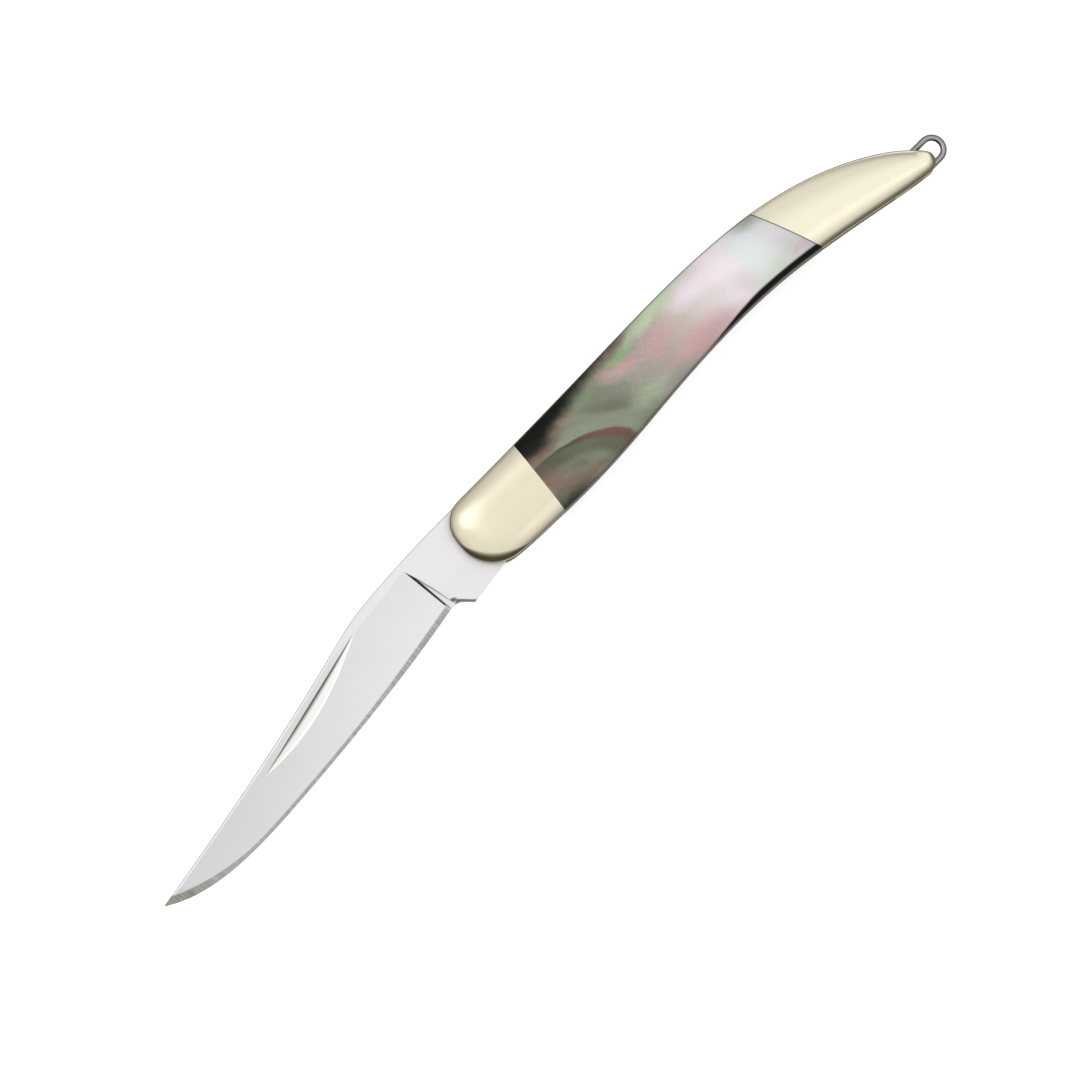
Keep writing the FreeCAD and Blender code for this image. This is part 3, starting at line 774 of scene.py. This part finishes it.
def planMesh(name, start, end, rows, ease, side):  # closed flat plan of a piece, and what the crown needs
    shares = np.linspace(0.0, 1.0, rows) ** ease[0]
    shares = 1.0 - (1.0 - shares) ** ease[1]
    upper = resample(cutLine(spineSide["whole"], start, end), shares)
    lower = resample(cutLine(bellySide["whole"], start, end), shares)
    columns = handleSet["across"] + 1
    over = (np.sin(np.linspace(-0.5, 0.5, columns) * math.pi) + 1) / 2
    plan = lower[:, None, :] * (1 - over)[None, :, None] + upper[:, None, :] * over[None, :, None]
    points = plan.reshape(-1, 2)
    count = len(points)
    flat = np.concatenate([points, points])
    x = np.clip(flat[:, 0], domeFront, domeNose)
    spine = np.interp(x, spineSide["line"][:, 0], spineSide["line"][:, 1])
    belly = np.interp(x, bellySide["line"][:, 0], bellySide["line"][:, 1])
    half = (spine - belly) / 2
    across = (flat[:, 1] - (spine + belly) / 2) / half
    frontStart, _, frontPower = handleSet["frontDome"]
    tailStart, _, tailPower = handleSet["tailDome"]
    frontShare = np.clip((frontStart - flat[:, 0]) / (frontStart + handleSet["front"]), 0, 1) ** frontPower
    tailShare = np.clip((flat[:, 0] - tailStart) / (handleSet["tail"] - tailStart), 0, 1) ** tailPower
    rearShare = np.clip(flat[:, 0] / handleSet["rearJoint"][0], 0, 1)
    frontDrop, rearDrop = handleSet["edgeDrop"]
    frontEdge, rearEdge = handleSet["edgePower"]
    edgeShare = np.abs(across) ** (frontEdge + (rearEdge - frontEdge) * rearShare)
    edgeShare *= (half / handleSet["edgeHalf"]) ** handleSet["edgeShrink"]
    edgeShare *= 1 + (rearDrop / frontDrop - 1) * rearShare
    rearPlace, rearSlant = handleSet["rearJoint"]
    slope = math.tan(math.radians(rearSlant))
    seam = np.abs(flat[:, 0] - rearPlace - flat[:, 1] * slope) / math.hypot(1.0, slope)   # to the rear joint
    rim = np.tile(rimDistance(points), 2)
    top = np.repeat((1.0, 0.0), count)

    def at(row, column, layer):
        return layer * count + row * columns + column

    faces = []
    for row in range(rows - 1):
        for column in range(columns - 1):
            ring = [(row, column), (row + 1, column), (row + 1, column + 1), (row, column + 1)]
            faces.append([at(r, c, 0) for r, c in ring])
            faces.append([at(r, c, 1) for r, c in reversed(ring)])
    loop = ([(r, 0) for r in range(rows - 1)] + [(rows - 1, c) for c in range(columns - 1)]
            + [(r, columns - 1) for r in range(rows - 1, 0, -1)]
            + [(0, c) for c in range(columns - 1, 0, -1)])
    for (r0, c0), (r1, c1) in zip(loop, loop[1:] + loop[:1]):
        faces.append([at(r0, c0, 0), at(r0, c0, 1), at(r1, c1, 1), at(r1, c1, 0)])
    if side < 0:
        faces = [face[::-1] for face in faces]
    ground = np.concatenate([(flat + toRest[:2]) * mm, np.zeros((len(flat), 1))], axis=1)
    mesh = bpy.data.meshes.new(name)
    mesh.from_pydata(ground.tolist(), [], faces)
    for label, values in (("edgeShare", edgeShare), ("frontShare", frontShare), ("tailShare", tailShare),
                          ("rim", rim), ("top", top), ("across", across), ("seam", seam)):
        mesh.attributes.new(label, "FLOAT", "POINT").data.foreach_set("value", values.astype(np.float32))
    return mesh


def closeUp(mesh, sharpDegrees):  # joins doubled points and marks the hard edges
    work = bmesh.new()
    work.from_mesh(mesh)
    bmesh.ops.remove_doubles(work, verts=work.verts, dist=1e-7)
    bmesh.ops.dissolve_degenerate(work, edges=work.edges, dist=1e-8)
    work.to_mesh(mesh)
    work.free()
    mesh.polygons.foreach_set("use_smooth", [True] * len(mesh.polygons))
    mesh.set_sharp_from_angle(angle=math.radians(sharpDegrees))


crownRule = crownTree()


def makeCover(name, start, end, rows, ease, side, material, slotName, node):
    piece = link(bpy.data.objects.new(name, planMesh(name + "Plan", start, end, rows, ease, side)))
    values = {
        "Crown Height": handleSet["crownHeight"],
        "Edge Drop": handleSet["edgeDrop"][0],
        "Front Drop": handleSet["frontDome"][1],
        "Tail Drop": handleSet["tailDome"][1],
        "Rim Radius": handleSet["rimRadius"],
        "Liner Outside": handleSet["linerOutside"],
        "Rest Height": handleSet["restHeight"] if side < 0 else 2 * handleSet["crownHeight"],
        "Side": float(side),
        "Material": material,
    }
    piece.data = bakeTree(piece, crownRule, values)
    closeUp(piece.data, sharpDegrees=40.0)
    return dress(piece, "handle", slotName, node)


frontJoint = handleSet["frontJoint"]
rearJoint = handleSet["rearJoint"]
gap = handleSet["jointGap"]
scaleStart = (frontJoint[0] + gap, frontJoint[1])
scaleEnd = (rearJoint[0] - gap, rearJoint[1])
covers = [   # name, node, joints at both ends, rows along it and how they crowd to its ends, finish
    ("FrontBolster", "_front_bolster", None, frontJoint, 70, (1.4, 1.0), nickelSilver, "nickel_silver"),
    ("Scale", "_scale", scaleStart, scaleEnd, 150, (1.0, 1.0), blackLipPearl, "pearl_shell"),
    ("RearBolster", "_rear_bolster", rearJoint, None, 80, (1.0, 1.4), nickelSilver, "nickel_silver"),
]
for sideName, side in (("mark", 1), ("pile", -1)):
    for name, node, start, end, rows, ease, material, slotName in covers:
        makeCover(sideName + name, start, end, rows, ease, side, material, slotName, sideName + node)
print("bolsters and covers ready")

# blade

bladeSet = {
    "reach": 63.1,            # mm from the pivot to the tip
    "half": 0.97,             # half thickness of the ricasso
    "grindStart": (0.285, -4.25),   # the edge line that the hollow grind follows
    "grindEnd": (0.6655, -6.82),
    "grindHeight": 7.85,
    "edgeThickness": 0.33,
    "wheelRadius": 38.0,
    "plungeTop": (-12.5, 4.2),
    "plungeFoot": (-11.95, -2.6),
    "plungeWidth": 1.0,
    "nickStart": (0.68, -1.6),
    "nickEnd": (0.355, 3.25),
    "nickWidth": 1.6,
    "heel": (-11.7, -3.18),
    "edge": [(0.285, -4.25), (0.4755, -5.76), (0.6655, -6.82), (0.792, -7.16), (0.8875, -6.7),
             (0.951, -5.66)],
    "edgeWays": (189.0, 151.0),   # degrees, at the heel and at the tip
    "tip": (1.0, -4.1),       # shares of the reach, and heights
    "back": [(0.872, -2.72), (0.729, -1.05), (0.5705, 1.08), (0.428, 3.22), (0.349, 4.42), (0.2695, 5.02),
             (0.1425, 5.45), (0.02, 5.54)],
    "backWays": (10.0, 0.5),
    "bevelWidth": 0.47,       # mm, and what it gains towards the tip and towards the heel
    "bevelGains": (0.6, 0.28),
    "bevelToTip": (-49.0, -60.0),
    "bevelToHeel": (-33.0, -18.0),
    "bevelEnd": (-11.7, -12.2),
    "bevelColor": (0.36, 0.355, 0.345),
    "bevelTipColor": (0.27, 0.264, 0.235),
    "bevelTipFade": (-54.0, -60.0),
    "bevelSoft": (0.07, -0.07),
    "bevelMarks": ((0.8, 0.8, 0.8), (1.14, 1.14, 1.14)),
    "markTurn": 8.0,          # degrees
    "markSize": (0.24, 4.0, 1.0),
    "backShadeLine": (0.15, 0.05, 0.0, 0.75),   # mm, where the painted grey shade line along the back ends and is whole
    "backShadeColor": (0.25, 0.245, 0.24),
    "choil": ((-10.75, -2.95), (-8.85, -4.75)),
    "choilShade": (0.32, 0.22),   # mm, its width at the two ends
    "choilSoft": (0.1, -0.1),
    "choilStart": (-0.12, 0.08),
    "choilCorner": ((-10.8, -2.6), -30.0, (0.7, 0.4)),   # place, turn and half size of the dark corner
    "choilStrength": 0.85,
    "choilColor": (0.03, 0.028, 0.026),
    "nickShadeColors": ((0.2, 0.18, 0.16), (0.075, 0.066, 0.058)),   # painted shade in its corner, at both ends
    "nickMiddle": (0.60, 0.585, 0.57),
    # painted highlight along the lip
    "nickLipHighlight": (0.95, 0.95, 0.95),
    "nickFades": ((0.04, 0.4), (0.76, 0.94)),   # shares of its depth, from the corner to the lip
    "nickRough": (0.0, 0.5, 0.45, 0.28),
    "plungeColor": (0.93, 0.92, 0.91),
    # painted shade at the shoulder and along the foot of the plunge cut
    "plungeShoulderShade": (0.16, 0.155, 0.15),
    "plungeShadeLine": (0.02, 0.019, 0.018),
    "shoulderFade": (0.24, 0.04, 0.0, 0.75),   # mm
    "lineFade": (0.3, 0.12),
    "facetAngle": 3.0,        # degrees between a facet and the round face it stands for
    "wallTilt": 75.0,         # degrees, steeper faces are walls
    "cutDepth": 0.004,        # mm below the ground face
    "backEnd": -18.0,         # mm, the polished back starts here
    "choilWall": (-12.2, -7.5),
}


def bladePoint(share):
    return np.array((-share[0] * bladeSet["reach"], share[1]))


def heightOf(tree, x, line):  # height of an outline at a length along the blade, mm
    line = line[np.argsort(line[:, 0])]
    low = line.min(0)
    size = np.ptp(line, axis=0)
    places = np.linspace(0.0, 1.0, 30)
    heights = (np.interp(places * size[0] + low[0], line[:, 0], line[:, 1]) - low[1]) / size[1]
    node = tree.nodes.new("ShaderNodeFloatCurve")
    points = node.mapping.curves[0].points
    points[0].location = places[0], heights[0]
    points[1].location = places[-1], heights[-1]
    for place, height in zip(places[1:-1], heights[1:-1]):
        points.new(place, height)
    node.mapping.update()
    feed(tree, node.inputs["Value"], calc(tree, "DIVIDE", minus(tree, x, low[0]), size[0]))
    return scaled(tree, node.outputs["Value"], size[1], low[1])


def makeBladeSteel(name, color, tipColor, metallic):  # satin, with marks at the edge, the back and the choil
    material = makeSteel(name, color, steelSet["roughness"], 0.03, tipColor, metallic)
    tree, shader, color = reopened(material)
    here = millimetres(tree)
    x, y, _ = axes(tree, here)
    tip = bladePoint(bladeSet["tip"])
    edgePoints = [bladeSet["heel"], *map(bladePoint, bladeSet["edge"]), tip]
    edge = smoothLine(edgePoints, *map(toward, bladeSet["edgeWays"]))
    back = smoothLine([tip, *map(bladePoint, bladeSet["back"])], *map(toward, bladeSet["backWays"]))
    # sharpened bevel with marks across it
    width = bladeSet["bevelWidth"]
    toTip, toHeel = bladeSet["bevelGains"]
    width = calc(tree, "ADD", spread(tree, x, *bladeSet["bevelToTip"], width, width + toTip),
                 spread(tree, x, *bladeSet["bevelToHeel"], 0.0, toHeel))
    inside = minus(tree, minus(tree, y, heightOf(tree, x, edge)), width)
    bevel = times(tree, spread(tree, inside, *bladeSet["bevelSoft"]), spread(tree, x, *bladeSet["bevelEnd"]))
    strokes = turned(tree, here, degrees=bladeSet["markTurn"], size=bladeSet["markSize"])
    marks = noise(tree, strokes, 1.0, 2.0)
    mark = blend(tree, spread(tree, marks, 0.3, 0.7), *bladeSet["bevelMarks"])
    nearTip = spread(tree, x, *bladeSet["bevelTipFade"])
    ground = blend(tree, nearTip, bladeSet["bevelColor"], bladeSet["bevelTipColor"])
    color = blend(tree, bevel, color, blend(tree, 1.0, ground, mark, "MULTIPLY"))
    # painted grey shade line along the back
    fromBack = minus(tree, heightOf(tree, x, back), y)
    line = times(tree, spread(tree, fromBack, *bladeSet["backShadeLine"]), spread(tree, facingUp(tree), 0.15, 0.4))
    color = blend(tree, line, color, bladeSet["backShadeColor"])
    # shade along the choil and in its corner
    along, off = alongLine(tree, *np.array(bladeSet["choil"]))
    deep = minus(tree, off, spread(tree, along, 0.0, 1.0, *bladeSet["choilShade"]))
    shade = times(tree, spread(tree, deep, *bladeSet["choilSoft"]),
                  spread(tree, along, *bladeSet["choilStart"]))
    corner = spread(tree, howFar(tree, here, *bladeSet["choilCorner"]), 1.0, 0.3)
    shade = times(tree, larger(tree, shade, corner), bladeSet["choilStrength"])
    feed(tree, shader.inputs["Base Color"], blend(tree, shade, color, bladeSet["choilColor"]))
    return material


def alongLine(tree, start, end):  # share of the way from start to end, and mm off that line
    run = end - start
    size = (np.linalg.norm(run), 1.0, 1.0)
    flat = turned(tree, millimetres(tree), (*start, 0.0), math.degrees(math.atan2(run[1], run[0])), size)
    return axes(tree, flat)[:2]


def makeNickSteel():  # painted shade in the deep straight corner, painted highlight at the curved lip
    material, tree, shader = newMaterial("nickSteel", 1.0, 0.3)
    along, off = alongLine(tree, bladePoint(bladeSet["nickStart"]), bladePoint(bladeSet["nickEnd"]))
    side = scaled(tree, along, 2.0, -1.0)
    depth = larger(tree, minus(tree, 1.0, times(tree, side, side)), 0.02)
    share = calc(tree, "DIVIDE", off, times(tree, depth, -bladeSet["nickWidth"]))
    deep = blend(tree, along, *bladeSet["nickShadeColors"])
    corner, lip = bladeSet["nickFades"]
    color = blend(tree, spread(tree, share, *corner), deep, bladeSet["nickMiddle"])
    color = blend(tree, spread(tree, share, *lip), color, bladeSet["nickLipHighlight"])
    rough = spread(tree, share, *bladeSet["nickRough"])
    feedAll(tree, shader, {"Base Color": color, "Roughness": rough})
    return material


def makePlungeSteel():  # painted shade: a black line along the foot of the cut and a grey line at its shoulder; pale inside
    material, tree, shader = newMaterial("plungeSteel", 0.3, 0.4)
    x, y, _ = axes(tree, millimetres(tree))
    topX, topY = bladeSet["plungeTop"]
    footX, footY = bladeSet["plungeFoot"]
    lean = (footX - topX) / (footY - topY)
    fall = minus(tree, topY, y)
    inside = minus(tree, x, scaled(tree, fall, -lean, topX))
    left = minus(tree, times(tree, fall, bladeSet["plungeWidth"] / (topY - footY)), inside)
    shoulder = spread(tree, left, *bladeSet["shoulderFade"])
    color = blend(tree, shoulder, bladeSet["plungeColor"], bladeSet["plungeShoulderShade"])
    color = blend(tree, spread(tree, inside, *bladeSet["lineFade"]), color, bladeSet["plungeShadeLine"])
    feed(tree, shader.inputs["Base Color"], color)
    return material


def groundHalf(q):  # half thickness of the hollow grind at a distance q from its edge line
    low = np.array((0.0, bladeSet["edgeThickness"] / 2))
    high = np.array((bladeSet["grindHeight"], bladeSet["half"]))
    chord = high - low
    length = np.linalg.norm(chord)
    rise = math.sqrt(bladeSet["wheelRadius"] ** 2 - (length / 2) ** 2)
    wheel = (low + high) / 2 + np.array((-chord[1], chord[0])) / length * rise
    ground = wheel[1] - np.sqrt(np.maximum(bladeSet["wheelRadius"] ** 2 - (q - wheel[0]) ** 2, 0.0))
    return np.where(q > bladeSet["grindHeight"], bladeSet["half"], ground)


def fromEdge(points):  # distance from the grind's edge line, and the way in which it grows
    start = bladePoint(bladeSet["grindStart"])
    along = bladePoint(bladeSet["grindEnd"]) - start
    along /= np.linalg.norm(along)
    way = np.array((along[1], -along[0]))
    return (points[:, :2] - start) @ way, way


def groundNormals(points):  # true normals of the hollow grind
    q, way = fromEdge(points)
    step = 0.01
    q = np.clip(q, 0.0, bladeSet["grindHeight"] - 2 * step)
    slope = (groundHalf(q + step) - groundHalf(q - step)) / (2 * step)
    normals = np.column_stack((-np.outer(slope, way), np.sign(points[:, 2])))
    return normals / np.linalg.norm(normals, axis=1)[:, None]


def bladeFinish(centers, normals):  # 0 satin, 1 nick, 2 plunge, 3 back, 4 wall
    x = centers[:, 0]
    plunge = bladeSet["plungeTop"][0]
    wall = bladeSet["wallTilt"]
    tipSide, pivotSide = bladeSet["choilWall"]
    below = groundHalf(fromEdge(centers)[0]) - np.abs(centers[:, 2])
    tilt = np.degrees(np.arccos(np.clip(np.abs(normals[:, 2]), 0, 1)))
    cut = (below > bladeSet["cutDepth"]) & (x < plunge - 0.3)
    finish = np.zeros(len(centers), int)
    finish[cut & (normals[:, 1] > 0.02) & (tilt < 60)] = 1
    finish[(tilt > 20) & (tilt < wall) & (x > plunge - 0.6)] = 2
    finish[(tilt > 30) & (tilt < wall) & (normals[:, 1] > 0.3) & (x < bladeSet["backEnd"])] = 3
    finish[(tilt > wall) & (x > tipSide) & (x < pivotSide) & (normals[:, 0] < -0.3)] = 4
    return finish


def makeBlade(materials):
    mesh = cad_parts["blade"].data.copy()
    mesh.name = "bladeBody"
    mesh.materials.clear()
    for material in materials:
        mesh.materials.append(material)
    closeUp(mesh, sharpDegrees=6.0)
    points = np.array([vertex.co for vertex in mesh.vertices]) / mm - toRest
    centers = np.array([face.center for face in mesh.polygons]) / mm - toRest
    normals = np.array([face.normal for face in mesh.polygons])
    finish = bladeFinish(centers, normals)
    mesh.polygons.foreach_set("material_index", finish)
    # the long facets of the grind are shaded as the round face they stand for
    inGrind = np.abs(fromEdge(centers)[0] - bladeSet["grindHeight"] / 2) < bladeSet["grindHeight"] / 2
    alike = (normals * groundNormals(centers)).sum(1) > math.cos(math.radians(bladeSet["facetAngle"]))
    shading = np.zeros((len(mesh.loops), 3))
    for face in mesh.polygons:
        if inGrind[face.index] and alike[face.index] and finish[face.index] == 0:
            shading[list(face.loop_indices)] = groundNormals(points[list(face.vertices)])
    mesh.normals_split_custom_set(shading.tolist())
    return dress(link(bpy.data.objects.new("bladeBody", mesh)), "blade", "blade_steel", "blade")


satinSteel = makeBladeSteel("satinSteel", steelSet["color"], steelSet["tipColor"], 1.0)
brightSteel = makeBladeSteel("brightSteel", steelSet["brightColor"], None, 0.5)
makeBlade([satinSteel, makeNickSteel(), makePlungeSteel(), brightSteel, wallShadeSteel])
print("blade ready")

# pins and rivets

pinSet = {
    "chamfer": 0.08,    # mm
    "sides": 48,
    "pins": [           # name, node, place around the pivot, diameter, lowest and highest point
        ("pivotPin", "pivot_pin", (0.0, 0.0), 2.4, (-3.0, 3.0)),
        ("springPin", "spring_pin", (30.0, 4.3), 1.6, (-1.7, 1.7)),
        ("tailPin", "tail_pin", (58.5, 1.15), 1.6, (-2.7, 2.7)),
        ("bailPin", "bail_pin", (68.25, -5.0), 1.3, (-2.0, 2.0)),
    ],
    "frontRivets": [(4.7, 3.4), (4.4, -2.5)],
    "rearRivets": [(54.6, -2.4), (64.2, -3.4)],
    "rivetDiameter": 1.0,
    "rivetEnds": (1.0, 2.7),
}


def postTree():  # a chamfered post on every point
    tree, given = newTree("turnedPosts", ("Radius", "Length", "Chamfer"))
    size = {"Vertices": pinSet["sides"], "Side Segments": 3,
            "Radius": given["Radius"], "Depth": given["Length"]}
    post = addNode(tree, "GeometryNodeMeshCylinder", size)
    x, y, z = axes(tree, tree.nodes.new("GeometryNodeInputPosition").outputs[0])
    atEnd = calc(tree, "GREATER_THAN", calc(tree, "ABSOLUTE", z), times(tree, given["Length"], 0.45))
    inset = times(tree, given["Chamfer"], minus(tree, 1.0, atEnd))
    reach = minus(tree, times(tree, given["Length"], 0.5), inset)
    narrow = calc(tree, "DIVIDE", times(tree, given["Chamfer"], atEnd), given["Radius"])
    share = minus(tree, 1.0, narrow)
    place = {"X": times(tree, x, share), "Y": times(tree, y, share),
             "Z": times(tree, calc(tree, "SIGN", z), reach)}
    spot = addNode(tree, "ShaderNodeCombineXYZ", place).outputs[0]
    shape = addNode(tree, "GeometryNodeSetPosition", {"Geometry": post.outputs["Mesh"], "Position": spot})
    posts = addNode(tree, "GeometryNodeInstanceOnPoints",
                    {"Points": given["Geometry"], "Instance": shape.outputs[0]})
    finishTree(tree, posts.outputs[0], given["Material"])
    return tree


turnedPosts = postTree()


def makePosts(name, places, diameter, ends, material, slotName, node):
    mesh = bpy.data.meshes.new(name + "Places")
    middle = (ends[0] + ends[1]) / 2
    mesh.from_pydata([tuple((np.array((x, y, middle)) + toRest) * mm) for x, y in places], [], [])
    piece = link(bpy.data.objects.new(name, mesh))
    values = {"Radius": diameter / 2 * mm, "Length": (ends[1] - ends[0]) * mm,
              "Chamfer": pinSet["chamfer"] * mm, "Material": material}
    piece.data = bakeTree(piece, turnedPosts, values)
    closeUp(piece.data, sharpDegrees=30.0)
    dress(piece, "handle", slotName, node)


for name, node, place, diameter, ends in pinSet["pins"]:
    hidden = name == "springPin"
    material, slotName = (pinBrass, "pin_brass") if hidden else (pinSilver, "nickel_silver")
    makePosts(name, [place], diameter, ends, material, slotName, node)
low, high = pinSet["rivetEnds"]
for sideName, ends in (("mark", (low, high)), ("pile", (-high, -low))):
    for endName, places in (("Front", pinSet["frontRivets"]), ("Rear", pinSet["rearRivets"])):
        name = sideName + endName + "Rivets"
        node = sideName + "_" + endName.lower() + "_rivets"
        makePosts(name, places, pinSet["rivetDiameter"], ends, pinBrass, "pin_brass", node)
print("pins and rivets ready")

# bail

bailSet = {
    "pin": (68.25, -5.0),   # mm around the pivot
    "offset": 0.375,        # from the pin to the middle of the near bend
    "bendRadius": 1.5,
    "straight": 2.75,
    "wireDiameter": 0.85,
    "wireSides": 28,
    "steps": 120,
}


def wireTree():  # round wire along a curve
    tree, given = newTree("bentWire", ("Wire Radius",), ("Sides", "Steps"))
    even = addNode(tree, "GeometryNodeResampleCurve", {"Curve": given["Geometry"], "Count": given["Steps"]})
    ring = addNode(tree, "GeometryNodeCurvePrimitiveCircle",
                   {"Resolution": given["Sides"], "Radius": given["Wire Radius"]})
    tube = addNode(tree, "GeometryNodeCurveToMesh",
                   {"Curve": even.outputs[0], "Profile Curve": ring.outputs["Curve"]})
    finishTree(tree, tube.outputs[0], given["Material"])
    return tree


def makeBail(material):
    near = np.array(bailSet["pin"]) + (bailSet["offset"], 0.0)
    far = near + (bailSet["straight"], 0.0)
    radius = bailSet["bendRadius"]
    knob = radius * 4 / 3 * (math.sqrt(2) - 1)   # handle length that makes a quarter circle
    stops = [(near, 90), (near, 180), (near, 270), (far, 270), (far, 360), (far, 450)]
    curve = bpy.data.curves.new("bailPath", "CURVE")
    curve.dimensions = "3D"
    spline = curve.splines.new("BEZIER")
    spline.bezier_points.add(len(stops) - 1)
    spline.use_cyclic_u = True

    def spot(xy):
        return Vector((np.array((*xy, 0.0)) + toRest) * mm)

    for point, (center, angle) in zip(spline.bezier_points, stops):
        place = center + toward(angle) * radius
        way = toward(angle + 90) * knob
        point.handle_left_type = "FREE"
        point.handle_right_type = "FREE"
        point.co = spot(place)
        point.handle_left = spot(place - way)
        point.handle_right = spot(place + way)
    path = link(bpy.data.objects.new("bailPath", curve))
    mesh = bakeTree(path, wireTree(), {
        "Wire Radius": bailSet["wireDiameter"] / 2 * mm, "Sides": bailSet["wireSides"],
        "Steps": bailSet["steps"], "Material": material})
    bpy.data.objects.remove(path)
    closeUp(mesh, sharpDegrees=60.0)
    mesh.name = "bailLoop"
    return dress(link(bpy.data.objects.new("bailLoop", mesh)), "bail", "bail_wire", "bail")


makeBail(wireSilver)
print("bail ready")

# solids that keep their shape get their finish

keptSolids = {"mark_liner": linerBrass, "pile_liner": linerBrass, "back_spring": springSteel}
for name, material in keptSolids.items():
    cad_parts[name].material_slots[0].material = material

bpy.context.scene.view_settings.view_transform = "Standard"
